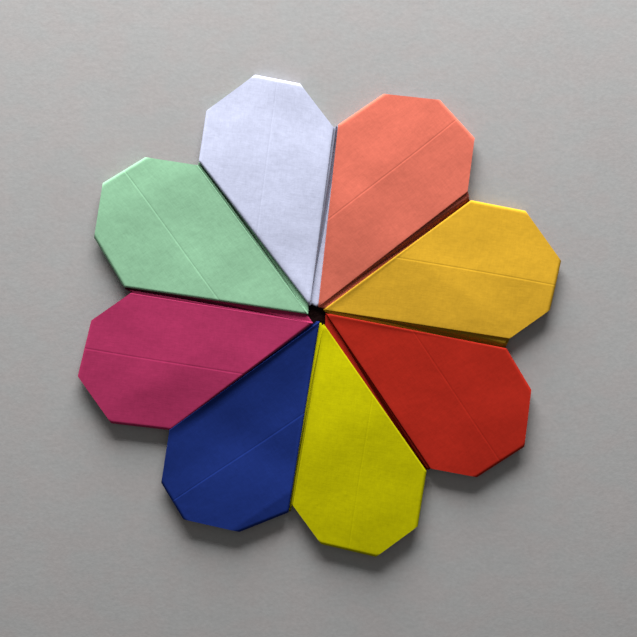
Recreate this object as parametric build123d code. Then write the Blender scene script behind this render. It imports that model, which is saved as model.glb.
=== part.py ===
"""Modular origami flower: eight folded paper hearts in a ring.

Each heart is one square sheet. Its left lobe is a petal that shows. Its right lobe lies
under the next petal clockwise, held by the folded-back edges of that petal.
"""
from build123d import *
import os
from math import cos, hypot, radians, sin, sqrt, tan

# Paper, in millimetres
sheet_side = 150.0
paper = 0.12
layer_gap = 0.18

# Folds of one heart, and the room that each leaves
peak_fold = 11.5
lobe_opening = 2.5
neighbour_gap = 0.42
nest_gap = 0.1
crease_width = 0.3
crease_depth = 0.04

# Flat strips that make up a quarter turn of a bend
small_bend = 0.4
small_bend_strips = 2
large_bend_strips = 5

# Place of each tip beside and beyond the flower's centre, seen along the heart's own line
tip_aside = 3.2
tip_beyond = 2.2

# The hearts clockwise, and the turn of the first one's line from straight up
heart_names = ["white", "coral", "amber", "red", "yellow", "blue", "magenta", "green"]
first_turn = 9.0

# An eighth of the sheet's diagonal sets every crease of the classic heart
eighth = sheet_side * sqrt(2) / 8
pitch = paper + layer_gap
turn_step = 360 / len(heart_names)
fold_angle = turn_step
right_fold_angle = fold_angle + lobe_opening / 2

# The peak fold lowers the petal's natural peak. The side fold just clears the top edge of the
# heart before it, which depends on where the tips stand.
petal_height = 4 * eighth - peak_fold
side_reach = 3 * eighth + (1 - sqrt(0.5)) * tip_beyond - sqrt(0.5) * tip_aside
petal_width = (side_reach + neighbour_gap) / sqrt(2)

# Layers counted up from the table, for the half of a heart that shows.
# The hidden half lies LAYERS_DOWN lower, where the next heart covers it.
LAYERS_DOWN = 5
drop = LAYERS_DOWN * pitch
LEVELS = {
    "left_lobe": 12,
    "right_lobe": 12,
    "left_lining": 11,
    "right_lining": 11,
    "bottom_flap": 10,
    "top_flap": 9,
    "back": 8,
    "left_peak": 5,
    "right_peak": 11,
    "left_corner": 5,
    "left_corner_lining": 6,
    "right_corner": 6,
    "right_corner_lining": 7,
}

# Which two panels each crease joins
CREASES = {
    "left_side": [("left_lobe", "back"), ("left_corner_lining", "left_corner")],
    "right_side": [("right_lobe", "back"), ("right_corner_lining", "right_corner")],
    "left_inner_side": [("left_lining", "bottom_flap")],
    "right_inner_side": [("right_lining", "bottom_flap")],
    "top": [("top_flap", "back")],
    "left_middle": [("left_lobe", "left_lining")],
    "right_middle": [("right_lobe", "right_lining")],
    "left_peak": [("left_lobe", "left_peak")],
    "right_peak": [("right_lobe", "right_peak")],
    "left_corner": [("left_lobe", "left_corner")],
    "right_corner": [("right_lobe", "right_corner")],
    "left_corner_inner": [("back", "left_corner_lining")],
    "right_corner_inner": [("back", "right_corner_lining")],
}


def distance_beyond(point, line):
    """How far a point lies past a fold line, on the side that moves."""
    (x, y), (normal_x, normal_y) = line
    return (point[0] - x) * normal_x + (point[1] - y) * normal_y


def mirror_point(point, line):
    """The place where a point lands when the paper turns over the fold line."""
    away = distance_beyond(point, line)
    return (point[0] - 2 * away * line[1][0], point[1] - 2 * away * line[1][1])


def keep_side(panel, line, side, crease):
    """The part of a panel on one side of a line; the new edge is named after the crease."""
    small = 1e-6
    kept = []
    for k, (start, edge) in enumerate(panel):
        end = panel[(k + 1) % len(panel)][0]
        here = side * distance_beyond(start, line)
        there = side * distance_beyond(end, line)
        share = here / (here - there) if abs(here - there) > small else 0
        crossing = (start[0] + share * (end[0] - start[0]), start[1] + share * (end[1] - start[1]))
        if here > small or (here > -small and there > -small):
            kept.append((start, edge))
            if there < -small:
                kept.append((crossing, crease))
        elif here > -small:
            kept.append((start, crease))
        elif there > small:
            kept.append((crossing, edge))
    return kept


def fold(panel, line, crease):
    """Fold a panel over a line: the part that stays, and the part turned over onto it."""
    stays = keep_side(panel, line, -1, crease)
    moves = keep_side(panel, line, 1, crease)
    corners = [mirror_point(corner, line) for corner, edge in moves][::-1]
    edges = [edge for corner, edge in moves][::-1]
    edges = edges[1:] + edges[:1]
    return stays, list(zip(corners, edges))


def fold_heart():
    """Fold the square sheet into a heart and return its flat panels by name."""
    tip = (0, 0)
    right_turn = radians(right_fold_angle)
    left_turn = radians(fold_angle)
    top_line = ((0, 3 * eighth), (0, 1))
    bottom_line = (tip, (0, -1))
    left_line = (tip, (-cos(left_turn), -sin(left_turn)))
    right_line = (tip, (cos(right_turn), -sin(right_turn)))
    peak_line = ((0, petal_height), (0, 1))
    left_edge_line = ((-petal_width, 0), (-1, 0))
    right_edge_line = ((petal_width, 0), (1, 0))

    corners = [(0, 5 * eighth), (-4 * eighth, eighth), (0, -3 * eighth), (4 * eighth, eighth)]
    sheet = [(corner, "raw") for corner in corners]
    panels = {}
    back, panels["top_flap"] = fold(sheet, top_line, "top")
    back, flap = fold(back, bottom_line, "middle")
    back, left_lobe = fold(back, left_line, "left_side")
    back, right_lobe = fold(back, right_line, "right_side")
    flap, panels["left_lining"] = fold(flap, left_line, "left_inner_side")
    panels["bottom_flap"], panels["right_lining"] = fold(flap, right_line, "right_inner_side")
    left_lobe, panels["left_peak"] = fold(left_lobe, peak_line, "left_peak")
    right_lobe, panels["right_peak"] = fold(right_lobe, peak_line, "right_peak")
    panels["left_lobe"], panels["left_corner"] = fold(left_lobe, left_edge_line, "left_corner")
    panels["right_lobe"], panels["right_corner"] = fold(right_lobe, right_edge_line, "right_corner")
    back, panels["left_corner_lining"] = fold(back, left_edge_line, "left_corner_inner")
    panels["back"], panels["right_corner_lining"] = fold(back, right_edge_line, "right_corner_inner")
    for side in ("left", "right"):
        for part in ("lobe", "lining"):
            name = f"{side}_{part}"
            panels[name] = [
                (corner, f"{side}_middle" if edge == "middle" else edge)
                for corner, edge in panels[name]
            ]
    return panels


def layer_height(level):
    """Height of the middle of a layer of paper above the table."""
    return paper / 2 + (level - 1) * pitch


def bend_radius(upper, lower):
    """Outer radius of the round bend that joins two panels."""
    return (abs(LEVELS[upper] - LEVELS[lower]) * pitch + paper) / 2


def bend_centre(upper, lower):
    """Height of the middle of the bend that joins two panels."""
    return (layer_height(LEVELS[upper]) + layer_height(LEVELS[lower])) / 2


def corner_nest(side):
    """Set-back of the inner corner bend, so that it lies inside the outer one."""
    outer = (f"{side}_lobe", f"{side}_corner")
    inner = ("back", f"{side}_corner_lining")
    room = bend_radius(*outer) - bend_radius(*inner) - paper - nest_gap
    rise = bend_centre(*outer) - bend_centre(*inner)
    return bend_radius(*outer) - bend_radius(*inner) - sqrt(room**2 - rise**2)


def set_back(crease):
    """How far inside its fold line a crease lies, where it is nested in another bend."""
    if crease in ("left_inner_side", "right_inner_side"):
        return pitch
    if crease in ("left_corner_inner", "right_corner_inner"):
        return corner_nest(crease.split("_")[0])
    return 0


def joined_panel(name, crease):
    """The panel on the other side of a crease."""
    for pair in CREASES.get(crease, []):
        if name in pair:
            return pair[1] if pair[0] == name else pair[0]
    return None


def inset(outline, distances):
    """Corners of an outline after each edge has moved inwards by its own distance."""
    moved = []
    for (start, end), distance in zip(zip(outline, outline[1:] + outline[:1]), distances):
        length = hypot(end[0] - start[0], end[1] - start[1])
        along = ((end[0] - start[0]) / length, (end[1] - start[1]) / length)
        moved.append(((start[0] - along[1] * distance, start[1] + along[0] * distance), along))
    corners = []
    for (point, along), (before, before_along) in zip(moved, moved[-1:] + moved[:-1]):
        cross = before_along[0] * along[1] - before_along[1] * along[0]
        gap_x = point[0] - before[0]
        gap_y = point[1] - before[1]
        reach = (gap_x * along[1] - gap_y * along[0]) / cross
        corners.append((before[0] + reach * before_along[0], before[1] + reach * before_along[1]))
    return corners


def prism(outline, low, high):
    """Upright block on a flat outline, from one height to another."""
    face = make_face(Polyline(*outline, close=True))
    return extrude(Pos(0, 0, low) * face, amount=high - low)


def half_bend(start, end, radius, centre, above):
    """Half of a bend, a quarter turn, along an edge whose outer side is on its right."""
    length = hypot(end[0] - start[0], end[1] - start[1])
    along = Vector(end[0] - start[0], end[1] - start[1]) / length
    outward = Vector(along.Y, -along.X)
    origin = Vector(end[0], end[1], centre) - outward * radius + along * radius
    strips = small_bend_strips if radius < small_bend else large_bend_strips
    turns = [radians(90 * k / strips) * (1 if above else -1) for k in range(strips + 1)]
    outer = [(radius * cos(turn), radius * sin(turn)) for turn in turns]
    inner = [((radius - paper) * cos(turn), (radius - paper) * sin(turn)) for turn in turns]
    section = make_face(Polyline(*outer, *inner[::-1], close=True))
    plane = Plane(origin=origin, x_dir=outward, z_dir=-along)
    return extrude(plane * section, amount=length + 2 * radius)


def panel_solid(name, panel):
    """One flat panel of paper with its own half of the bend along each crease."""
    level = LEVELS[name]
    height = layer_height(level)
    corners = [corner for corner, edge in panel]
    edges = [edge for corner, edge in panel]
    others = [joined_panel(name, edge) for edge in edges]
    outline = inset(corners, [set_back(edge) if other else 0 for edge, other in zip(edges, others)])
    radii = [bend_radius(name, other) if other else 0 for other in others]
    flat = inset(outline, radii)
    solid = prism(flat, height - paper / 2, height + paper / 2)
    for k, other in enumerate(others):
        if other:
            ahead = (k + 1) % len(outline)
            border = [outline[k], outline[ahead], flat[ahead], flat[k]]
            centre = bend_centre(name, other)
            above = LEVELS[other] < level
            bend = half_bend(outline[k], outline[ahead], radii[k], centre, above)
            low = min(centre, height) - paper
            high = max(centre, height) + paper
            solid += bend & prism(border, low, high)
    return solid


def crease_groove(points, height):
    """Sharp shallow groove that a pressed and opened crease leaves in the paper."""
    start = Vector(*points[0], height)
    end = Vector(*points[1], height)
    along = (end - start).normalized()
    plane = Plane(origin=start, x_dir=Vector(along.Y, -along.X), z_dir=along)
    half = crease_width / 2
    section = make_face(Polyline((-half, 0.01), (half, 0.01), (0, -crease_depth), close=True))
    return extrude(plane * section, amount=(end - start).length)


def joggle(flat_heart):
    """Step the right half of a flat heart down, so that the next heart can lie on it.

    The step runs midway between the closed edges of the two neighbours, from tip to top.
    """
    half_turn = sqrt(0.5)
    before_edge = half_turn * (-tip_aside - tip_beyond) + tip_aside
    after_edge = half_turn * (tip_beyond - tip_aside) + tip_aside
    middle = (before_edge + after_edge) / 2
    top = 3 * eighth
    room = after_edge - before_edge - top * tan(radians(lobe_opening / 2))
    half_width = room / 2
    lean = Pos(middle, 0, 0) * Rot(0, 0, -lobe_opening / 4)
    reach = 2 * sheet_side
    strip = lean * Box(2 * half_width, reach, reach)
    left = lean * Pos(-half_width - reach / 2, 0, 0) * Box(reach, reach, reach)
    right = lean * Pos(half_width + reach / 2, 0, 0) * Box(reach, reach, reach)
    slope = -drop / (2 * half_width)
    shear = Matrix([[1, 0, 0, 0], [0, 1, 0, 0], [slope, 0, 1, -drop / 2]])
    step = (lean.inverse() * (flat_heart & strip)).transform_geometry(shear)
    step = Solid(Shell([Face(face.outer_wire(), face.inner_wires()) for face in step.faces()]))
    return (flat_heart & left) + lean * step + Pos(0, 0, -drop) * (flat_heart & right)


def make_heart():
    """One folded heart with its tip at the origin and its left lobe's inner edge along +Y."""
    panels = fold_heart()
    flat_heart = Part()
    for name, panel in panels.items():
        flat_heart += panel_solid(name, panel)
    face = layer_height(LEVELS["left_lobe"]) + paper / 2
    clear_side = eighth + bend_radius("left_lobe", "back") * sqrt(2)
    clear_top = petal_height - bend_radius("left_lobe", "left_peak")
    flat_heart -= crease_groove([(-eighth, clear_side), (-eighth, clear_top)], face)
    return joggle(flat_heart)


os.makedirs("parts", exist_ok=True)
heart = make_heart()
for number, name in enumerate(heart_names):
    place = Rot(0, 0, -first_turn - number * turn_step) * Pos(-tip_aside, tip_beyond, 0)
    export_step(place * heart, f"parts/{name}_heart.step")
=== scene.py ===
"""Eight folded paper hearts in a ring, lying flat on a pale table."""

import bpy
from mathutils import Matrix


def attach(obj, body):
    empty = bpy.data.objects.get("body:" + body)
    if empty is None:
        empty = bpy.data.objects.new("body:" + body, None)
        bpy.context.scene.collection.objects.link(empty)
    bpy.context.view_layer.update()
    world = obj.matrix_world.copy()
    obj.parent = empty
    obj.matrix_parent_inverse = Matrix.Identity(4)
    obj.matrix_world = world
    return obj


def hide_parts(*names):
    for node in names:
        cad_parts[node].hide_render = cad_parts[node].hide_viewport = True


bl_info = {
    "name": "Folded Paper Flower",
    "version": (1, 0, 0),
    "blender": (4, 5, 0),
    "location": "3D View > Sidebar > Paper Flower",
    "description": "Folds eight square sheets into a ring of hearts and lights them on a table",
    "category": "Add Mesh",
}

from math import radians

import bpy
import numpy as np
from bpy.props import FloatProperty, FloatVectorProperty, IntProperty, PointerProperty
from mathutils import Vector

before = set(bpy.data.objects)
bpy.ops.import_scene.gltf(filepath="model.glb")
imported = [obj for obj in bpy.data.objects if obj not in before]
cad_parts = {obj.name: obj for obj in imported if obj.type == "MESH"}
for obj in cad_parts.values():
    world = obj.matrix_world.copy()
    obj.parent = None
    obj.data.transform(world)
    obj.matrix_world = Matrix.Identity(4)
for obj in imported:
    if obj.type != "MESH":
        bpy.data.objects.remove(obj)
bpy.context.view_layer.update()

# One millimetre in metres, the root of two, and what counts as no distance in mm
MM = 0.001
ROOT = 2 ** 0.5
TINY = 1e-6

# Layer of each panel, counted up from the table on the side of the heart that shows
LEVELS = {
    "left_lobe": 12, "right_lobe": 12, "left_lining": 11, "right_lining": 11,
    "bottom_flap": 10, "top_flap": 9, "back": 8, "left_peak": 5, "right_peak": 11,
    "left_corner": 5, "left_corner_lining": 6, "right_corner": 6, "right_corner_lining": 7,
}

# How many hearts stand in the ring
HEARTS = 8

# Panels on the two sides of each crease
CREASES = {
    "left_side": [("left_lobe", "back"), ("left_corner_lining", "left_corner")],
    "right_side": [("right_lobe", "back"), ("right_corner_lining", "right_corner")],
    "left_inner_side": [("left_lining", "bottom_flap")],
    "right_inner_side": [("right_lining", "bottom_flap")],
    "top": [("top_flap", "back")],
    "left_middle": [("left_lobe", "left_lining")],
    "right_middle": [("right_lobe", "right_lining")],
    "left_peak": [("left_lobe", "left_peak")],
    "right_peak": [("right_lobe", "right_peak")],
    "left_corner": [("left_lobe", "left_corner")],
    "right_corner": [("right_lobe", "right_corner")],
    "left_corner_inner": [("back", "left_corner_lining")],
    "right_corner_inner": [("back", "right_corner_lining")],
}

# Where the corners of each petal lie, in millimetres from the flower's centre, clockwise from
# the tip: tip, side fold's two ends, peak fold's two ends, end of the inner edge
PETALS = {
    "white": [(-4.1, 4.5), (-51.1, 65.6), (-47.9, 86.8), (-27.2, 102.1), (-8.3, 98.4), (5.9, 79.9)],
    "coral": [(-0.5, 3.8), (8.0, 81.0), (27.1, 94.0), (51.1, 91.4), (65.7, 75.4), (62.7, 52.6)],
    "amber": [(1.8, 2.7), (64.3, 49.0), (87.2, 44.5), (102.4, 23.2), (97.7, 2.6), (80.4, -9.6)],
    "red": [(2.8, 1.1), (79.3, -13.8), (89.7, -31.2), (86.7, -55.5), (66.8, -68.3), (47.1, -64.6)],
    "yellow": [(1.9, -3.6), (45.4, -65.9), (41.7, -89.0), (23.8, -102.1), (0.8, -96.7),
               (-11.2, -80.3)],
    "blue": [(0.0, -2.5), (-13.2, -83.3), (-33.8, -91.5), (-57.7, -86.1), (-67.0, -70.8),
             (-63.5, -48.3)],
    "magenta": [(-2.8, -3.0), (-63.2, -48.4), (-88.1, -45.5), (-102.4, -25.4), (-96.7, -2.0),
                (-80.0, 9.6)],
    "green": [(-4.9, 0.8), (-82.9, 12.3), (-95.4, 33.1), (-91.7, 56.3), (-73.8, 67.2),
              (-51.7, 63.8)],
}

# How high each petal stands at the side fold's edge and at the closed inner edge, as a share of
# the full stack, and how far past that inner edge the height passes to the next petal's, in mm
STANDS = {
    "white": (0.98, 0.95, 0.0), "coral": (0.9, 1.0, 0.0), "amber": (0.84, 1.0, 0.0),
    "red": (0.84, 0.95, 0.0), "yellow": (0.92, 0.9, 0.0), "blue": (0.62, 0.6, -1.5),
    "magenta": (1.0, 0.92, 0.0), "green": (0.95, 0.86, 0.0),
}

# Soft facets in the petals: two points on each bend in mm, the slope in degrees on the bend's
# right, and over how many mm the paper takes the bend
FACETS = {
    "white": [((-48.4, 70.2), (-20.0, 95.2), 0.8, 3), ((-40.0, 40.0), (10.0, 40.0), -1.2, 35)],
    "coral": [((14.0, 78.0), (45.0, 90.0), 0.5, 4)],
    "amber": [((35.4, 25.8), (72.2, 2.5), 1.6, 3)],
    "red": [((30.0, -20.0), (60.0, -66.0), 0.5, 6)],
    "yellow": [((4.5, -69.5), (29.9, -52.5), 1.0, 3), ((25.0, -40.0), (-15.0, -40.0), 3.0, 40)],
    "blue": [((-34.9, -89.4), (-14.6, -75.8), 5.0, 1), ((-10.0, -55.0), (-45.0, -20.0), -3.0, 35),
             ((10.5, -17.1), (-53.0, -62.9), -5.0, 9)],
    "magenta": [((-89.9, -39.8), (-71.7, -28.4), 1.6, 3)],
    "green": [((-90.0, 44.0), (-62.0, 62.0), 0.6, 4)],
}

# Colour of each paper, then how its petal lies on the two sides of the long crease: the slope
# of each side in degrees, and how light the pressed crease line is
PAPERS = {
    "white": ((0.61, 0.65, 0.85), (0.3, 0.3), 0.02),
    "coral": ((0.725, 0.173, 0.117), (1.0, 1.6), 0.03),
    "amber": ((0.67, 0.385, 0.027), (1.0, 1.6), 0.05),
    "red": ((0.39, 0.0195, 0.010), (0.3, 0.6), 0.04),
    "yellow": ((0.47, 0.445, 0.0), (0.3, 0.5), 0.02),
    "blue": ((0.0115, 0.030, 0.185), (0.5, 0.6), 0.30),
    "magenta": ((0.405, 0.033, 0.113), (0.7, 1.1), 0.05),
    "green": ((0.295, 0.565, 0.36), (0.4, 0.5), 0.10),
}

# Bends: the radius in mm from which paper springs open, the roundness of the tighter ones, how
# many mm along a bend its end's height reaches, and the width in mm of the band along it that
# is made darker
SPRINGY_RADIUS = 0.9
TIGHT_ROUNDNESS = 1.15
CORNER_REACH = 1.5
FOLD_DARK_BAND = 0.8

# Set-back of the inner one of two nested bends, how far in from the bend and how close to its
# ends the shift fades, all in mm
NEST_BACK = {"inner_side": 0.3, "corner_inner": 0.5}
NEST_REACH = 4
NEST_END = 1.2

# Rows of a panel's grid, for the petal that shows and for the rest: distances from the outline
# in mm, then shares of the way from there to the middle. Then the widest column in mm, and how
# much of the way to the point where the outline closes the rows may take
NEAR_ROWS = ((0, 0.03, 0.08, 0.15, 0.26, 0.42, 0.65, 0.95, 1.3, 1.8),
             (0, 0.05, 0.14, 0.3, 0.6, 1.1))
FAR_ROWS = ((0.06, 0.14, 0.24, 0.36, 0.5, 0.64, 0.78, 0.9), (0.3, 0.7))
COLUMN_WIDTH = 2.2
MOST_CLOSED = 0.45

# Room in mm between the closed side of the heart before and the strip that steps down
STEP_ROOM = 0.1

# Shift in mm that keeps places off a petal's corners, and how soon the shifts of two petals
# blend, in square mm
OFF_CORNER = (7e-6, 3e-6)
BLEND = 0.02

# Radii in mm between which the stack is pressed down at the centre, and between which the
# petals rise to the full height at the rim
DIP_RADII = (8, 55)
RISE_RADII = (58, 90)

# Angle in degrees from which an edge is drawn sharp
SHARP_ANGLE = 62

# Paper: shine, roughness, shift of the textures from sheet to sheet, width and depth of the
# pressed crease in mm, how much the specks change its tone, how much darker it is along the
# folds, and how much painted shade darkens the flaps inside the heart
SHEEN = 0.05
PAPER_ROUGHNESS = 0.85
SHEET_OFFSET = (1.37, 0.61)
CREASE_WIDTH = 0.35
CREASE_DEPTH = 0.05
DARK_SPECKS, LIGHT_SPECKS = 0.09, 0.07
FOLD_DARKENING = 0.16
INNER_PAINTED_SHADE = 0.5

# Table: half its side and how far it lies below the paper in metres, roughness, shade of a dust
# speck, tint of its warm places, and how much painted shade darkens it between two radii in
# metres
TABLE_REACH = 1.5
TABLE_DROP = 0.0001
TABLE_ROUGHNESS = 0.8
DUST_SHADE = 0.4
WARM_TINT = (1.03, 0.985, 0.98)
TABLE_SHADE_RADII = (0.2, 0.65)
TABLE_PAINTED_SHADE = 0.85

# Disc of painted shadow under the middle, seen through the flower's centre hole: radius and
# drop in metres, sides, colour and roughness
SHADOW_DISC_RADIUS = 0.02
SHADOW_DISC_DROP = 0.00005
SHADOW_DISC_SIDES = 48
SHADOW_DISC_COLOUR = (0.011, 0.004, 0.004)
SHADOW_DISC_ROUGHNESS = 0.9

# Window: width, height and place in metres, and the colours of its light and of the room's
WINDOW_SIZE = (0.9, 0.46)
WINDOW_PLACE = (-0.05, 1.0, 0.24)
WINDOW_COLOUR = (1.0, 0.99, 0.98)
ROOM_COLOUR = (1.0, 0.98, 0.95, 1)

# Camera: width of its sensor in mm, the point it stands over, and the height of the paper that
# the view width is taken at, in metres
SENSOR = 36
VIEW_CENTRE = (-0.0004, -0.0011)
PAPER_TOP = 0.003


class PaperFlowerSheet(bpy.types.PropertyGroup):
    """Sizes of one square sheet and its folds."""

    sheet_side: FloatProperty(
        name="Sheet side", description="Side of the square sheet", default=0.150, min=0.05,
        subtype="DISTANCE", unit="LENGTH")
    paper: FloatProperty(
        name="Paper thickness", description="Thickness of one layer of paper", default=0.00012,
        min=0.00002, subtype="DISTANCE", unit="LENGTH", precision=5)
    layer_gap: FloatProperty(
        name="Layer gap", description="Air between two layers", default=0.00018, min=0.0,
        subtype="DISTANCE", unit="LENGTH", precision=5)
    peak_fold: FloatProperty(
        name="Peak fold", description="Height of the peak that is folded back", default=0.0115,
        min=0.0, subtype="DISTANCE", unit="LENGTH")
    petal_width: FloatProperty(
        name="Petal width", description="From the inner edge to the side fold", default=0.0554,
        min=0.0, subtype="DISTANCE", unit="LENGTH")
    lobe_opening: FloatProperty(
        name="Lobe opening", description="Angle between the two halves of a heart",
        default=radians(2.5), subtype="ANGLE", unit="ROTATION")
    roundness: FloatProperty(
        name="Fold roundness", description="Width of a thick fold's round, against its radius",
        default=1.15, min=1.0, max=3.0, subtype="FACTOR")
    waviness: FloatProperty(
        name="Waviness", description="How much the stack gives way between its high places",
        default=0.05, min=0.0, max=0.5, subtype="FACTOR")
    seam_band: FloatProperty(
        name="Seam band", description="Width over which one petal's height passes to the next's",
        default=0.0016, min=0.0005, subtype="DISTANCE", unit="LENGTH", precision=4)
    centre_dip: FloatProperty(
        name="Centre dip", description="How much the stack is pressed down at the centre",
        default=0.35, min=0.0, max=0.5, subtype="FACTOR")


class PaperFlowerRing(bpy.types.PropertyGroup):
    """How the hearts stand in the ring."""

    tip_aside: FloatProperty(
        name="Tip aside", description="Tip's distance beside the centre", default=0.0032,
        subtype="DISTANCE", unit="LENGTH")
    tip_beyond: FloatProperty(
        name="Tip beyond", description="Tip's distance beyond the centre", default=0.0022,
        subtype="DISTANCE", unit="LENGTH")
    first_turn: FloatProperty(
        name="First turn", description="Turn of the first heart from straight up",
        default=radians(9), subtype="ANGLE", unit="ROTATION")
    step_width: FloatProperty(
        name="Step width", description="Width of the strip in which the hidden half steps down",
        default=0.001, min=0.0001, subtype="DISTANCE", unit="LENGTH", precision=4)
    layers_down: IntProperty(
        name="Layers down", description="How far the hidden half steps down, in layers",
        default=5, min=0, max=12)


class PaperFlowerStage(bpy.types.PropertyGroup):
    """Table, camera and light."""

    view_width: FloatProperty(
        name="View width", description="Width of table that the camera takes in", default=0.2697,
        min=0.01, subtype="DISTANCE", unit="LENGTH")
    camera_height: FloatProperty(
        name="Camera height", description="Height of the camera over the table", default=0.6,
        min=0.1, subtype="DISTANCE", unit="LENGTH")
    table_color: FloatVectorProperty(
        name="Table colour", description="Colour of the pale table", default=(0.385, 0.389, 0.391),
        size=3, min=0.0, max=1.0, subtype="COLOR")
    sky_level: FloatProperty(
        name="Fill light", description="Brightness of the even light from all round",
        default=0.14, min=0.0, max=2.0, subtype="FACTOR")
    backdrop_level: FloatProperty(
        name="Backdrop", description="Brightness of the room where the camera sees it",
        default=0.45, min=0.0, max=2.0, subtype="FACTOR")
    window_level: FloatProperty(
        name="Window light", description="Power of the soft window light", default=43.0, min=0.0,
        subtype="POWER", unit="POWER")


def smooth(share):
    """Smooth rise from 0 to 1: 3 s^2 - 2 s^3."""
    return share ** 2 * (3 - 2 * share)


# Folding
class Panel:
    """A flat panel of folded paper: its corners on the table plane, the same corners on the
    sheet, the name of each edge, and how often it has been turned over."""

    def __init__(self, places, sheet, edges, turns=0):
        self.places = np.array(places, float)
        self.sheet = np.array(sheet, float)
        self.edges = list(edges)
        self.turns = turns

    def beyond(self, line):
        """Distance of each corner past a fold line, as the dot product with its normal."""
        return (self.places - line[0]) @ np.array(line[1])

    def side(self, line, side, crease):
        """The part on one side of a line. A cut edge is divided in the ratio of its ends'
        distances from the line, and the new edge is named after the crease."""
        reach = side * self.beyond(line)
        places, sheet, edges = [], [], []
        for k, edge in enumerate(self.edges):
            here, there = reach[k], reach[(k + 1) % len(reach)]
            share = here / (here - there) if abs(here - there) > TINY else 0
            ends = [both[[k, (k + 1) % len(reach)]] for both in (self.places, self.sheet)]
            crossing = [both[0] + share * (both[1] - both[0]) for both in ends]
            if here > TINY or (here > -TINY and there > -TINY):
                new = [(ends[0][0], ends[1][0], edge)]
                if there < -TINY:
                    new.append((*crossing, crease))
            elif here > -TINY:
                new = [(ends[0][0], ends[1][0], crease)]
            else:
                new = [(*crossing, edge)] if there > TINY else []
            for place, point, name in new:
                places.append(place)
                sheet.append(point)
                edges.append(name)
        return Panel(places, sheet, edges, self.turns) if len(edges) > 2 else None

    def fold(self, line, crease):
        """The part that stays, and the part past the line mirrored back over it."""
        moved = self.side(line, 1, crease)
        away = moved.beyond(line)[:, None]
        places = (moved.places - 2 * away * np.array(line[1]))[::-1]
        edges = moved.edges[::-1]
        edges = edges[1:] + edges[:1]
        return self.side(line, -1, crease), Panel(places, moved.sheet[::-1], edges, moved.turns + 1)


def petal_sizes(sheet):
    """An eighth of the sheet's diagonal, which sets the creases, then the height of the peak
    fold, 4 eighths less what is folded back, and the width of a petal, all in mm."""
    eighth = sheet.sheet_side / MM * ROOT / 8
    return eighth, 4 * eighth - sheet.peak_fold / MM, sheet.petal_width / MM


def fold_heart(sheet, opening):
    """Fold the square into a heart, as the classic steps go. With u an eighth of the diagonal:
    top corner down at 3u, bottom corner up at 0, both sides up at 45 degrees, then peaks and
    side corners back."""
    u, high, wide = petal_sizes(sheet)
    right = radians(45) + opening / 2
    left = radians(45)
    top = ((0, 3 * u), (0, 1))
    bottom = ((0, 0), (0, -1))
    left_line = ((0, 0), (-np.cos(left), -np.sin(left)))
    right_line = ((0, 0), (np.cos(right), -np.sin(right)))
    peak = ((0, high), (0, 1))
    left_edge = ((-wide, 0), (-1, 0))
    right_edge = ((wide, 0), (1, 0))
    corners = [(0, 5 * u), (-4 * u, u), (0, -3 * u), (4 * u, u)]
    panels = {}
    back, panels["top_flap"] = Panel(corners, corners, ["raw"] * 4).fold(top, "top")
    back, flap = back.fold(bottom, "middle")
    back, left_lobe = back.fold(left_line, "left_side")
    back, right_lobe = back.fold(right_line, "right_side")
    flap, panels["left_lining"] = flap.fold(left_line, "left_inner_side")
    panels["bottom_flap"], panels["right_lining"] = flap.fold(right_line, "right_inner_side")
    left_lobe, panels["left_peak"] = left_lobe.fold(peak, "left_peak")
    right_lobe, panels["right_peak"] = right_lobe.fold(peak, "right_peak")
    panels["left_lobe"], panels["left_corner"] = left_lobe.fold(left_edge, "left_corner")
    panels["right_lobe"], panels["right_corner"] = right_lobe.fold(right_edge, "right_corner")
    back, panels["left_corner_lining"] = back.fold(left_edge, "left_corner_inner")
    panels["back"], panels["right_corner_lining"] = back.fold(right_edge, "right_corner_inner")
    for side in ("left", "right"):
        for part in ("lobe", "lining"):
            panel = panels[f"{side}_{part}"]
            panel.edges = [f"{side}_middle" if edge == "middle" else edge for edge in panel.edges]
    return panels


def cross(a, b):
    """Cross product of plane vectors: ax by - ay bx."""
    return a[..., 0] * b[..., 1] - a[..., 1] * b[..., 0]


def partner(name, crease):
    """The panel on the other side of a crease, or None."""
    for pair in CREASES.get(crease, []):
        if name in pair:
            return pair[1] if pair[0] == name else pair[0]
    return None


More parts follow.
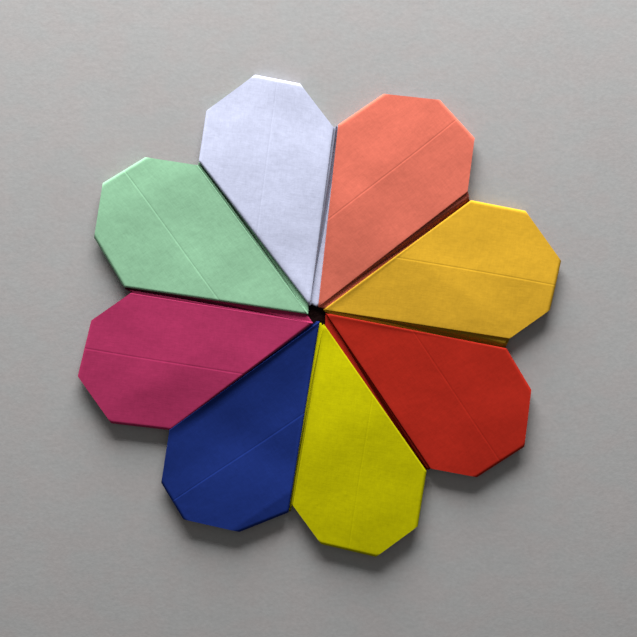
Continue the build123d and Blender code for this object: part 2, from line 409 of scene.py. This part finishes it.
class Layers:
    """Heights of the layers in one heart, in millimetres."""

    def __init__(self, sheet, panels):
        self.paper = sheet.paper / MM
        self.pitch = self.paper + sheet.layer_gap / MM
        self.roundness = sheet.roundness
        self.corners = {}
        for name, panel in panels.items():
            for key in map(tuple, np.round(panel.sheet, 3)):
                self.corners.setdefault(key, {})[name] = self.level(name)

    def level(self, name):
        """Height of the middle of a panel's paper above the table."""
        return self.paper / 2 + (LEVELS[name] - 1) * self.pitch

    def width(self, name, other):
        """Width of a bend seen from above: half the step between its layers, and more on
        the thick ones, where paper springs open."""
        radius = abs(self.level(name) - self.level(other)) / 2
        return radius * (self.roundness if radius > SPRINGY_RADIUS else TIGHT_ROUNDNESS)

    def bends(self, name, panel):
        """For each creased edge: start, direction, inward normal, length, middle height,
        width, and the heights and widths at its two corners. Where several panels meet at a
        corner, it lies at their mean height."""
        rows = []
        for k, crease in enumerate(panel.edges):
            other = partner(name, crease)
            if other:
                start, end = panel.places[[k, (k + 1) % len(panel.edges)]]
                length = np.hypot(*(end - start))
                along = (end - start) / length
                keys = map(tuple, np.round(panel.sheet[[k, (k + 1) % len(panel.edges)]], 3))
                ends = [np.mean(list(self.corners[key].values())) for key in keys]
                middle = (self.level(name) + self.level(other)) / 2
                inward = np.array((-along[1], along[0]))
                width = self.width(name, other)
                rows.append((crease, start, along, inward, length, middle, width, ends))
        return rows

    def heights(self, name, panel, places):
        """Height of the paper over each place on a panel. Near a bend it follows a quarter of
        an ellipse: drop = 1 - sqrt(1 - (1 - d / w)^2), with d the distance from the bend's
        edge and w its width. Near a corner of two bends they are weighed by 1 / d^2."""
        level = self.level(name)
        total = np.zeros(len(places))
        weights = np.full(len(places), 1e-9)
        for crease, start, along, inward, length, middle, width, ends in self.bends(name, panel):
            apart = np.maximum((places - start) @ inward, 0)
            run = np.clip((places - start) @ along, 0, length)
            drop = 1 - np.sqrt(1 - np.clip(1 - apart / width, 0, 1) ** 2)
            edge = middle - level
            edge = edge + (ends[0] - middle) * np.clip(1 - run / CORNER_REACH, 0, 1) ** 2
            run = length - run
            edge = edge + (ends[1] - middle) * np.clip(1 - run / CORNER_REACH, 0, 1) ** 2
            weight = 1 / (apart + 1e-4) ** 2
            total += weight * edge * drop
            weights += weight
        return level + total / weights

    def nesting(self, name, panel, places):
        """Shift of the inner one of two nested bends into the outer one: the set-back times
        (1 - d / reach)^2, fading to nothing at both ends of the crease."""
        shift = np.zeros_like(places)
        for crease, start, along, inward, length, middle, width, ends in self.bends(name, panel):
            back = NEST_BACK.get(crease.partition("_")[2], 0)
            apart = np.maximum((places - start) @ inward, 0)
            run = np.clip((places - start) @ along, 0, length)
            ends = 1 - np.exp(-((run / NEST_END) ** 2))
            ends = ends * (1 - np.exp(-(((length - run) / NEST_END) ** 2)))
            fade = back * np.clip(1 - apart / NEST_REACH, 0, 1) ** 2 * ends
            shift += fade[:, None] * inward
        return shift


# Surfaces
def ring_grid(corners, fine):
    """Grid over a convex outline. Columns run along the edges, closer towards the corners as
    (1 - cos) / 2 goes. Rows are the outline moved inwards, each corner sliding along its
    bisector, then shrunk towards the middle. Returns places (rows, columns, 2) and the
    middle."""
    count = len(corners)
    ahead = np.roll(corners, -1, axis=0)
    lengths = np.hypot(*(ahead - corners).T)
    along = (ahead - corners) / lengths[:, None]
    inward = np.stack((-along[:, 1], along[:, 0]), axis=1)
    before = np.roll(inward, 1, axis=0)
    slide = (before + inward) / (1 + np.sum(before * inward, axis=1))[:, None]
    closing = -np.sum((np.roll(slide, -1, axis=0) - slide) * along, axis=1)
    vanish = np.min(np.where(closing > TINY, lengths / np.maximum(closing, TINY), np.inf))
    near, far = (np.array(rows[0] if fine else rows[1]) for rows in (NEAR_ROWS, FAR_ROWS))
    near = near * min(1, MOST_CLOSED * vanish / near[-1])
    outlines = corners + near[:, None, None] * slide
    middle = outlines[-1].mean(axis=0)
    shrunk = outlines[-1] + far[:, None, None] * (middle - outlines[-1])
    outlines = np.concatenate((outlines, shrunk))
    steps = np.ceil(np.round(lengths, 3) / COLUMN_WIDTH).astype(int) + 4
    edge = np.repeat(np.arange(count), steps)
    place = np.arange(len(edge)) - np.repeat(np.cumsum(steps) - steps, steps)
    share = ((1 - np.cos(np.pi * place / steps[edge])) / 2)[None, :, None]
    grid = (1 - share) * outlines[:, edge] + share * outlines[:, (edge + 1) % count]
    return grid, middle


def step_strip(ring, opening):
    """Middle, half width and lean of the strip in which a heart's hidden half steps down. It
    lies close along the closed side of the hidden half of the heart before, which is open by
    the given angle."""
    aside, beyond = ring.tip_aside / MM, ring.tip_beyond / MM
    before = aside - (aside + beyond) / ROOT
    half = ring.step_width / MM / 2
    return before + STEP_ROOM + half, half, opening / 2


def grid_faces(rows, columns, total, flipped):
    """Quads between the rows of a ring grid, whose points are counted from a total, and the
    triangles from its last row to its middle point. A panel that has been turned over has its
    faces flipped."""
    index = total + np.arange(rows * columns).reshape(rows, columns)
    right = np.roll(index, -1, axis=1)
    quads = np.stack((index[:-1], right[:-1], right[1:], index[1:]), axis=-1).reshape(-1, 4)
    centre = np.full(columns, total + rows * columns)
    fans = np.stack((index[-1], right[-1], centre), axis=-1)
    return (quads[:, ::-1], fans[:, ::-1]) if flipped else (quads, fans)


def weld(places, flats, rims):
    """Make one of the rim points that lie on one spot of the sheet: they move to their mean
    place. Spots are told apart by a thousandth of a millimetre, with an offset that no corner
    lies on. Returns which points stay and the number that each point has among them."""
    keys = np.round(flats[rims] * 1e3 + 0.137).astype(np.int64)
    _, first, same = np.unique(keys, axis=0, return_index=True, return_inverse=True)
    same = same.ravel()
    target = np.arange(len(places))
    target[rims] = rims[first][same]
    shared = np.zeros((len(first), 3))
    np.add.at(shared, same, places[rims])
    places[rims[first]] = shared / np.bincount(same)[:, None]
    kept, number = np.unique(target, return_inverse=True)
    return kept, number.ravel()


def heart_surface(sheet, ring):
    """One heart, tip at the origin, as arrays: places, places on the flat sheet, marks, quads
    and triangles. The marks are how close a fold is, as exp(-(d / w)^2), and 1 on the flaps
    inside the heart, which get painted shade. The panels' grids are joined along the creases
    that they share."""
    opening = sheet.lobe_opening
    panels = fold_heart(sheet, opening)
    layers = Layers(sheet, panels)
    middle, half, lean = step_strip(ring, opening)
    normal = np.array((np.cos(lean), -np.sin(lean)))
    strip = [((middle + way * half * normal[0], way * half * normal[1]), tuple(normal))
             for way in (-1, 1)]
    places, flats, folds, inner, quads, fans, rims = [], [], [], [], [], [], []
    total = 0
    for name, panel in panels.items():
        pieces = [panel]
        for line in strip:
            pieces = [part for piece in pieces for way in (-1, 1)
                      if (part := piece.side(line, way, "step"))]
        corners = np.c_[panel.places, np.ones(len(panel.places))]
        matrix, *_ = np.linalg.lstsq(corners, panel.sheet, rcond=None)
        for piece in pieces:
            grid, centre = ring_grid(piece.places, name == "left_lobe")
            rows, columns = grid.shape[:2]
            flat = np.concatenate((grid.reshape(-1, 2), centre[None]))
            near = np.zeros(len(flat))
            for crease, start, along, inward, *_ in layers.bends(name, panel):
                near = np.maximum(near, np.exp(-((((flat - start) @ inward) / FOLD_DARK_BAND) ** 2)))
            moved = flat + layers.nesting(name, panel, flat)
            across = ((moved - (middle, 0)) @ normal + half) / (2 * half)
            if name in ("left_lobe", "left_lining"):
                across = (half - middle) / (2 * half) * np.exp(-np.sum(flat ** 2, axis=1) / 2)
            down = ring.layers_down * layers.pitch * smooth(np.clip(across, 0, 1))
            places.append(np.c_[moved, layers.heights(name, panel, flat) - down])
            flats.append(np.c_[flat, np.ones(len(flat))] @ matrix)
            folds.append(near)
            # The flaps inside the heart are marked for painted shade
            inner.append(np.full(len(flat), float(name in ("bottom_flap", "top_flap"))))
            for faces, new in zip((quads, fans), grid_faces(rows, columns, total, panel.turns % 2)):
                faces.append(new)
            rims.append(total + np.arange(columns))
            total += rows * columns + 1
    places, flats, folds, inner = map(np.concatenate, (places, flats, folds, inner))
    quads, fans, rims = map(np.concatenate, (quads, fans, rims))
    kept, number = weld(places, flats, rims)
    marks = {"fold": folds[kept], "inner": inner[kept]}
    return places[kept], flats[kept], marks, number[quads], number[fans]


def mean_value_shift(places, corners, real):
    """Shift that carries a petal's corners onto the real ones and keeps its edges straight.
    Corner k weighs (tan(a / 2) + tan(b / 2)) / r, with a and b the angles that its two edges
    fill as seen from the place, and r its distance."""
    spokes = corners - places[:, None] - OFF_CORNER
    ahead = np.roll(spokes, -1, axis=1)
    half = np.tan(np.arctan2(cross(spokes, ahead), np.sum(spokes * ahead, axis=2)) / 2)
    weights = (half + np.roll(half, 1, axis=1)) / np.hypot(spokes[..., 0], spokes[..., 1])
    return (weights / weights.sum(axis=1)[:, None]) @ (real - corners)


def outside(places, corners):
    """Distance of each place from a petal's outline, and 0 inside it."""
    spokes = places[:, None] - corners
    along = np.roll(corners, -1, axis=0) - corners
    share = np.clip(np.sum(spokes * along, axis=2) / np.sum(along ** 2, axis=1), 0, 1)
    apart = spokes - share[..., None] * along
    inside = np.all(cross(along, spokes) <= 0, axis=1)
    return np.where(inside, 0, np.min(np.hypot(apart[..., 0], apart[..., 1]), axis=1))


def bend_plane(places, regular, real):
    """Carry places in the table plane from the regular petals onto the real ones: the mean of
    the petals' own shifts, each weighed by 1 / (d^2 + BLEND)^2 with d its distance."""
    flat = places[:, :2]
    shifts = np.stack([mean_value_shift(flat, *pair) for pair in zip(regular, real)])
    weights = np.stack([1 / (outside(flat, corners) ** 2 + BLEND) ** 2 for corners in regular])
    shift = np.sum(weights[..., None] * shifts, axis=0) / weights.sum(axis=0)[:, None]
    return np.c_[flat + shift, places[:, 2]]


def place_heart(places, ring, number):
    """Move a heart's tip off the centre and turn it clockwise by its eighth of the ring."""
    angle = -ring.first_turn - number * 2 * np.pi / HEARTS
    turn = np.array(((np.cos(angle), -np.sin(angle)), (np.sin(angle), np.cos(angle))))
    flat = (places[:, :2] + (-ring.tip_aside / MM, ring.tip_beyond / MM)) @ turn.T
    return np.c_[flat, places[:, 2:]] if places.shape[1] > 2 else flat


def regular_corners(sheet, ring):
    """Corners of the eight regular petals in the order of PETALS, from the same u and folds as
    in fold_heart."""
    u, high, wide = petal_sizes(sheet)
    petal = np.array(((0, 0), (-wide, wide), (-wide, 5 * u - wide), (high - 5 * u, high),
                      (3 * u - high, high), (0, 3 * u)))
    return np.stack([place_heart(petal, ring, number) for number in range(HEARTS)])


def stand(x, y, band):
    """Share of the full stack that stands at each place: it runs straight across each petal
    from one value of STANDS to the other, blends over a band at a seam, and rises to the full
    height at the outer rim."""
    petals = np.array(list(PETALS.values()), float)
    first, last, past = np.array(list(STANDS.values())).T
    corner = petals[:, 5] + np.roll(petals[:, 1], -1, axis=0)
    seams = np.arctan2(corner[:, 0], corner[:, 1]) % (2 * np.pi)
    around = (np.arctan2(x, y) - seams[-1]) % (2 * np.pi)
    ends = (seams - seams[-1]) % (2 * np.pi)
    ends[-1] = 2 * np.pi
    starts = np.r_[0, ends[:-1]]
    petal = np.clip(np.searchsorted(ends, around), 0, HEARTS - 1)
    share = (around - starts[petal]) / (ends - starts)[petal]
    radius = np.hypot(x, y)
    ahead = radius * np.sin(ends[petal] - around) + past[petal]
    behind = radius * np.sin(around - starts[petal]) - past[petal - 1]
    high, low = (np.clip(0.5 - apart / (2 * band), 0, 1) for apart in (ahead, behind))
    own = first[petal] * (1 - share) + last[petal] * share
    pressed = own * (1 - high - low) + first[(petal + 1) % HEARTS] * high + last[petal - 1] * low
    inside, rim = RISE_RADII
    return pressed + (1 - pressed) * smooth(np.clip((radius - inside) / (rim - inside), 0, 1))


def settle(places, sheet):
    """Press the stack down, as loose paper gives: the height is scaled by a soft wave, the sum
    of a chequer of sines about 60 mm long and a slanting sine about 75 mm long, by a dip at the
    centre, where the tips are held, and by how high each petal stands. It stays at 0 on the
    table."""
    x, y = places[:, 0], places[:, 1]
    wave = 0.5 + 0.25 * np.sin(x / 9.3 + 0.7) * np.sin(y / 10.7 - 0.4)
    wave = wave + 0.25 * np.sin((x + y) / 17 + 1.9)
    core, edge = DIP_RADII
    dip = sheet.centre_dip * smooth(np.clip((edge - np.hypot(x, y)) / (edge - core), 0, 1))
    scale = (1 - sheet.waviness * wave) * (1 - dip)
    return np.c_[places[:, :2], places[:, 2] * scale * stand(x, y, sheet.seam_band / MM)]


def thicken(places, quads, fans, paper):
    """Give the sheet its thickness: both faces stand half of it off along the mean normal of
    the faces round each point, and a strip closes the cut edges."""
    normals = np.zeros_like(places)
    for faces in (quads, fans):
        a, b = places[faces[:, 2]] - places[faces[:, 0]], places[faces[:, -1]] - places[faces[:, 1]]
        face_normals = np.cross(a, b)
        for column in faces.T:
            np.add.at(normals, column, face_normals)
    normals /= np.linalg.norm(normals, axis=1)[:, None] + 1e-12
    count = len(places)
    edges = np.concatenate([np.stack((faces[:, k], faces[:, (k + 1) % faces.shape[1]]), axis=1)
                            for faces in (quads, fans) for k in range(faces.shape[1])])
    codes = edges[:, 0] * count + edges[:, 1]
    back = edges[:, 1] * count + edges[:, 0]
    open_edges = edges[~np.isin(codes, back)]
    first, last = open_edges.T
    rim = np.stack((last, first, first + count, last + count), axis=1)
    solid = np.concatenate((places + normals * paper / 2, places - normals * paper / 2))
    quads = np.concatenate((quads, quads[:, ::-1] + count, rim))
    fans = np.concatenate((fans, fans[:, ::-1] + count))
    return solid, quads, fans


def make_mesh(name, places, quads, fans, flats, marks, sheet):
    """A mesh object in metres with the sheet's own coordinates as its UV map and each mark,
    such as the closeness to a fold, as an attribute."""
    mesh = bpy.data.meshes.new(name)
    loops = np.concatenate((quads.ravel(), fans.ravel()))
    starts = np.concatenate((np.arange(len(quads)) * 4, len(quads) * 4 + np.arange(len(fans)) * 3))
    mesh.vertices.add(len(places))
    mesh.vertices.foreach_set("co", (places * MM).astype(np.float32).ravel())
    mesh.loops.add(len(loops))
    mesh.loops.foreach_set("vertex_index", loops.astype(np.int32))
    mesh.polygons.add(len(starts))
    mesh.polygons.foreach_set("loop_start", starts.astype(np.int32))
    mesh.polygons.foreach_set("use_smooth", np.ones(len(starts), bool))
    mesh.update(calc_edges=True)
    u, *_ = petal_sizes(sheet)
    grain = (np.concatenate((flats, flats)) + (4 * u, 3 * u)) / (8 * u)
    layer = mesh.uv_layers.new(name="sheet")
    layer.data.foreach_set("uv", grain[loops].astype(np.float32).ravel())
    for mark, values in marks.items():
        attribute = mesh.attributes.new(mark, "FLOAT", "POINT")
        attribute.data.foreach_set("value", np.concatenate((values, values)).astype(np.float32))
    mesh.set_sharp_from_angle(angle=radians(SHARP_ANGLE))
    mesh.validate()
    piece = bpy.data.objects.new(name, mesh)
    bpy.context.scene.collection.objects.link(piece)
    return piece


# Materials
class Value:
    """A socket of a shader tree. Arithmetic on it adds the Math nodes."""

    def __init__(self, shader, socket):
        self.shader = shader
        self.socket = socket

    def _maths(self, operation, *others):
        inputs = dict(enumerate((self, *others)))
        return self.shader.node("ShaderNodeMath", {"operation": operation}, inputs)

    def __add__(self, other):
        return self._maths("ADD", other)

    def __radd__(self, other):
        return self._maths("ADD", other)

    def __sub__(self, other):
        return self._maths("SUBTRACT", other)

    def __rsub__(self, other):
        return self.shader.node("ShaderNodeMath", {"operation": "SUBTRACT"}, {0: other, 1: self})

    def __mul__(self, other):
        return self._maths("MULTIPLY", other)

    def __rmul__(self, other):
        return self._maths("MULTIPLY", other)

    def __truediv__(self, other):
        return self._maths("DIVIDE", other)

    def size(self):
        """Distance from zero."""
        return self._maths("ABSOLUTE")

    def bell(self):
        """exp(-x^2): one at zero, fading on both sides."""
        return (self * self * -1)._maths("EXPONENT")

    def sway(self, amount):
        """A noise from 0 to 1 as a swing about nothing, of half the amount each way."""
        return (self - 0.5) * amount

    def past(self, soft):
        """The value above zero and nothing below, rounded over a distance."""
        return self._maths("SMOOTH_MAX", 0.0, soft)

    def over(self, edge):
        """One above the edge and nothing below."""
        return self._maths("GREATER_THAN", edge)

    def ramp(self, low, high):
        """Smooth rise from nothing at low to one at high."""
        return self.shader.node("ShaderNodeMapRange", {"interpolation_type": "SMOOTHSTEP"},
                                {"Value": self, "From Min": low, "From Max": high})


class Shader:
    """A material and short ways to add nodes to it."""

    def __init__(self, name):
        self.material = bpy.data.materials.new(name)
        self.material.use_nodes = True
        self.tree = self.material.node_tree
        self.surface = self.tree.nodes["Principled BSDF"]
        self.surface.inputs["Specular IOR Level"].default_value = SHEEN

    def node(self, kind, settings=None, inputs=None, output=0):
        """Add a node: its settings first, then the values or links of its sockets."""
        node = self.tree.nodes.new(kind)
        for key, value in (settings or {}).items():
            setattr(node, key, value)
        for key, value in (inputs or {}).items():
            self.feed(node.inputs[key], value)
        return Value(self, node.outputs[output])

    def feed(self, socket, value):
        """Link a value, or set a constant, on a socket."""
        if isinstance(value, Value):
            self.tree.links.new(value.socket, socket)
        else:
            socket.default_value = value

    def noise(self, place, scale, detail=2.0, roughness=0.5):
        """Soft noise from 0 to 1 over a place."""
        inputs = {"Vector": place, "Scale": scale, "Detail": detail, "Roughness": roughness}
        return self.node("ShaderNodeTexNoise", {}, inputs)

    def stretch(self, place, by, turn=0.0):
        """A place turned and stretched for each axis."""
        inputs = {"Vector": place, "Rotation": (0, 0, turn), "Scale": by}
        return self.node("ShaderNodeMapping", {}, inputs)

    def scaled(self, colour, by):
        """A colour made lighter or darker."""
        return self.node("ShaderNodeVectorMath", {"operation": "SCALE"}, {0: colour, "Scale": by})

    def mixed(self, share, low, high):
        """A colour between two, by a share."""
        return self.node("ShaderNodeMix", {"data_type": "RGBA"}, {0: share, 6: low, 7: high}, 2)

    def finish(self, colour, roughness, height):
        """Wire the surface: base colour, roughness and a bump for a height in millimetres."""
        inputs = {"Height": height, "Distance": MM, "Strength": 1.0}
        bump = self.node("ShaderNodeBump", {}, inputs)
        self.feed(self.surface.inputs["Base Color"], colour)
        self.feed(self.surface.inputs["Roughness"], roughness)
        self.feed(self.surface.inputs["Normal"], bump)
        return self.material


def facet_height(shader, name):
    """Height in mm of the soft facets of one petal: past each bend it falls by the distance
    times the tangent of the slope."""
    here = shader.node("ShaderNodeTexCoord", {}, {}, 3)
    height = 0.0
    for start, end, degrees, soft in FACETS[name]:
        along = Vector(end) - Vector(start)
        right = Vector((along.y, -along.x)).normalized()
        inputs = {0: here, 1: (*right, 0)}
        reach = shader.node("ShaderNodeVectorMath", {"operation": "DOT_PRODUCT"}, inputs, 1)
        reach = reach * (1 / MM) - right.dot(Vector(start))
        height = height + reach.past(soft) * -float(np.tan(radians(degrees)))
    return height


def paper_material(name, colour, slopes, crease_light, span, number):
    """Uncoated folding paper: cloudy tone, fibres, fine specks, a pressed crease along the
    sheet's diagonal with the two sides sloping off it, soft facets, darker bands along the
    folds, and painted shade on the flaps inside the heart. The textures lie elsewhere on each
    sheet."""
    shader = Shader(f"{name}_paper")
    sheet = shader.node("ShaderNodeUVMap", {"uv_map": "sheet"}, {}, 0)
    offset = (number * SHEET_OFFSET[0], number * SHEET_OFFSET[1], 0)
    place = shader.node("ShaderNodeVectorMath", {"operation": "ADD"}, {0: sheet, 1: offset})
    across = shader.node("ShaderNodeSeparateXYZ", {}, {0: sheet}, 1)
    fold = shader.node("ShaderNodeAttribute", {"attribute_name": "fold"}, {}, 2)
    inner = shader.node("ShaderNodeAttribute", {"attribute_name": "inner"}, {}, 2)
    from_crease = (across - 0.5) * span
    swell = shader.noise(place, scale=6.0, detail=1.0)
    clouds = shader.noise(place, scale=16.0, detail=3.0)
    mottle = shader.noise(place, scale=85.0, detail=3.0, roughness=0.6)
    fibres = shader.noise(shader.stretch(place, by=(55, 330, 1), turn=0.5), scale=1.0)
    crossed = shader.noise(shader.stretch(place, by=(300, 50, 1), turn=0.3), scale=1.0)
    specks = shader.noise(place, scale=300.0)
    line = (from_crease / CREASE_WIDTH).bell()
    tone = 1.0 + clouds.sway(0.10) + mottle.sway(0.22) + fibres.sway(0.16) + crossed.sway(0.16)
    tone = tone - specks.ramp(0.62, 0.72) * DARK_SPECKS + specks.ramp(0.38, 0.28) * LIGHT_SPECKS
    # The paper is made darker along the folds
    tone = tone + line * crease_light - fold * FOLD_DARKENING
    # Painted shade: the flaps inside the heart are made darker
    tone = tone * (1 - inner * INNER_PAINTED_SHADE)
    left, right = (np.tan(radians(slope)) for slope in slopes)
    side = from_crease.over(0.0)
    slope = from_crease.size() * (side * float(right - left) + float(left)) * -1
    grain = fibres + crossed + specks + mottle
    height = slope + line * -CREASE_DEPTH + facet_height(shader, name)
    height = height + swell * 1.1 + clouds * 0.18 + grain * 0.010
    return shader.finish(shader.scaled((*colour,), tone), PAPER_ROUGHNESS, height)


def table_material(colour):
    """Pale paper-covered table: even grey with a fine tooth, soft warm clouds and a few dark
    dust specks. Far from the flower it is darkened with painted shade, so that it doesn't glare
    close to the window."""
    shader = Shader("table_paper")
    place = shader.node("ShaderNodeTexCoord", {}, {}, 3)
    clouds = shader.noise(place, scale=22.0, detail=4.0, roughness=0.6)
    warmth = shader.noise(shader.stretch(place, by=(60, 90, 1)), scale=1.0, detail=3.0)
    tooth = shader.stretch(place, by=(620, 660, 1))
    tooth = shader.noise(tooth, scale=1.0, detail=3.0, roughness=0.6)
    blotches = shader.noise(shader.stretch(place, by=(230, 260, 1)), scale=1.0)
    dust = shader.node("ShaderNodeTexVoronoi", {}, {"Vector": place, "Scale": 42.0}, 0)
    chance = shader.noise(place, scale=31.0, detail=0.0)
    specks = (1 - dust.ramp(0.010, 0.020)) * chance.ramp(0.60, 0.66)
    tone = 1.0 + clouds.sway(0.08) + tooth.sway(0.22) + blotches.sway(0.09) - specks * DUST_SHADE
    from_centre = shader.node("ShaderNodeVectorMath", {"operation": "LENGTH"}, {0: place}, 1)
    # Painted shade: the table is made darker far from the flower
    tone = tone * (1 - from_centre.ramp(*TABLE_SHADE_RADII) * TABLE_PAINTED_SHADE)
    warm = [channel * by for channel, by in zip(colour, WARM_TINT)]
    tint = shader.mixed(warmth.ramp(0.35, 0.65), (*colour, 1), (*warm, 1))
    height = tooth * 0.03 + blotches * 0.02 + clouds * 0.1
    return shader.finish(shader.scaled(tint, tone), TABLE_ROUGHNESS, height)


def shadow_disc_material():
    """A painted shadow: a near-black disc on the table under the flower's middle, where no light
    comes.
    """
    shader = Shader("painted_shadow_black")
    place = shader.node("ShaderNodeTexCoord", {}, {}, 3)
    clouds = shader.noise(place, scale=300.0)
    return shader.finish(shader.scaled(SHADOW_DISC_COLOUR, 0.5 + clouds), SHADOW_DISC_ROUGHNESS, clouds)


def flat_piece(name, corners, material):
    """A flat piece of the stage with one face."""
    mesh = bpy.data.meshes.new(name)
    mesh.from_pydata(corners.tolist(), [], [tuple(range(len(corners)))])
    mesh.materials.append(material)
    piece = bpy.data.objects.new(name, mesh)
    bpy.context.scene.collection.objects.link(piece)


# Operators
class PAPERFLOWER_OT_hearts(bpy.types.Operator):
    """Fold the eight hearts and lay them in their ring"""

    bl_idname = "paperflower.hearts"
    bl_label = "Fold the hearts"

    def execute(self, context):
        sheet, ring = context.scene.paper_flower_sheet, context.scene.paper_flower_ring
        span = sheet.sheet_side / MM * ROOT
        regular = regular_corners(sheet, ring)
        real = np.array(list(PETALS.values()), float)
        heart, flats, marks, quads, fans = heart_surface(sheet, ring)
        for number, (name, (colour, slopes, crease_light)) in enumerate(PAPERS.items()):
            places = place_heart(heart, ring, number)
            places = settle(bend_plane(places, regular, real), sheet)
            faces = thicken(places, quads, fans, sheet.paper / MM)
            piece = make_mesh(f"{name}_folded_sheet", *faces, flats, marks, sheet)
            material = paper_material(name, colour, slopes, crease_light, span, number)
            piece.data.materials.append(material)
            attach(piece, "root")
            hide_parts(f"{name}_heart")
        return {"FINISHED"}


class PAPERFLOWER_OT_stage(bpy.types.Operator):
    """Set up the table, the light and the camera"""

    bl_idname = "paperflower.stage"
    bl_label = "Set the stage"

    def execute(self, context):
        stage = context.scene.paper_flower_stage
        scene = context.scene
        square = np.array(((-1, -1), (1, -1), (1, 1), (-1, 1))) * TABLE_REACH
        table = np.c_[square, np.full(len(square), -TABLE_DROP)]
        flat_piece("table", table, table_material(tuple(stage.table_color)))
        # A near-black disc of painted shadow under the flower's centre hole
        around = np.linspace(0, 2 * np.pi, SHADOW_DISC_SIDES, endpoint=False)
        disc = np.stack((np.cos(around), np.sin(around)), axis=1) * SHADOW_DISC_RADIUS
        disc = np.c_[disc, np.full(SHADOW_DISC_SIDES, -SHADOW_DISC_DROP)]
        flat_piece("dark_middle", disc, shadow_disc_material())

        window = bpy.data.lights.new("window", "AREA")
        window.shape = "RECTANGLE"
        window.size, window.size_y = WINDOW_SIZE
        window.energy = stage.window_level
        window.color = WINDOW_COLOUR
        lamp = bpy.data.objects.new("window", window)
        lamp.location = WINDOW_PLACE
        lamp.rotation_euler = (-lamp.location).to_track_quat("-Z", "Y").to_euler()
        lamp.visible_camera = False
        scene.collection.objects.link(lamp)

        world = bpy.data.worlds.new("room")
        world.use_nodes = True
        background = world.node_tree.nodes["Background"]
        background.inputs["Color"].default_value = ROOM_COLOUR
        seen = world.node_tree.nodes.new("ShaderNodeLightPath").outputs["Is Camera Ray"]
        level = world.node_tree.nodes.new("ShaderNodeMapRange")
        level.inputs["To Min"].default_value = stage.sky_level
        level.inputs["To Max"].default_value = stage.backdrop_level
        world.node_tree.links.new(seen, level.inputs["Value"])
        world.node_tree.links.new(level.outputs["Result"], background.inputs["Strength"])
        scene.world = world

        camera = bpy.data.cameras.new("camera")
        camera.sensor_width = SENSOR
        camera.lens = SENSOR * (stage.camera_height - PAPER_TOP) / stage.view_width
        view = bpy.data.objects.new("camera", camera)
        view.location = (*VIEW_CENTRE, stage.camera_height)
        scene.collection.objects.link(view)
        scene.camera = view
        scene.view_settings.view_transform = "Standard"
        return {"FINISHED"}


class PAPERFLOWER_PT_panel(bpy.types.Panel):
    """Sidebar panel of the paper flower"""

    bl_idname = "PAPERFLOWER_PT_panel"
    bl_label = "Paper Flower"
    bl_space_type = "VIEW_3D"
    bl_region_type = "UI"
    bl_category = "Paper Flower"

    def draw(self, context):
        scene = context.scene
        for group in (scene.paper_flower_sheet, scene.paper_flower_ring, scene.paper_flower_stage):
            box = self.layout.box()
            for name in group.__annotations__:
                box.prop(group, name)
        self.layout.operator("paperflower.hearts")
        self.layout.operator("paperflower.stage")


CLASSES = (PaperFlowerSheet, PaperFlowerRing, PaperFlowerStage, PAPERFLOWER_OT_hearts,
           PAPERFLOWER_OT_stage, PAPERFLOWER_PT_panel)


def register():
    for one in CLASSES:
        bpy.utils.register_class(one)
    bpy.types.Scene.paper_flower_sheet = PointerProperty(type=PaperFlowerSheet)
    bpy.types.Scene.paper_flower_ring = PointerProperty(type=PaperFlowerRing)
    bpy.types.Scene.paper_flower_stage = PointerProperty(type=PaperFlowerStage)


def unregister():
    del bpy.types.Scene.paper_flower_stage
    del bpy.types.Scene.paper_flower_ring
    del bpy.types.Scene.paper_flower_sheet
    for one in reversed(CLASSES):
        bpy.utils.unregister_class(one)


def main():
    register()
    bpy.ops.paperflower.hearts()
    bpy.ops.paperflower.stage()


if __name__ == "__main__":
    main()
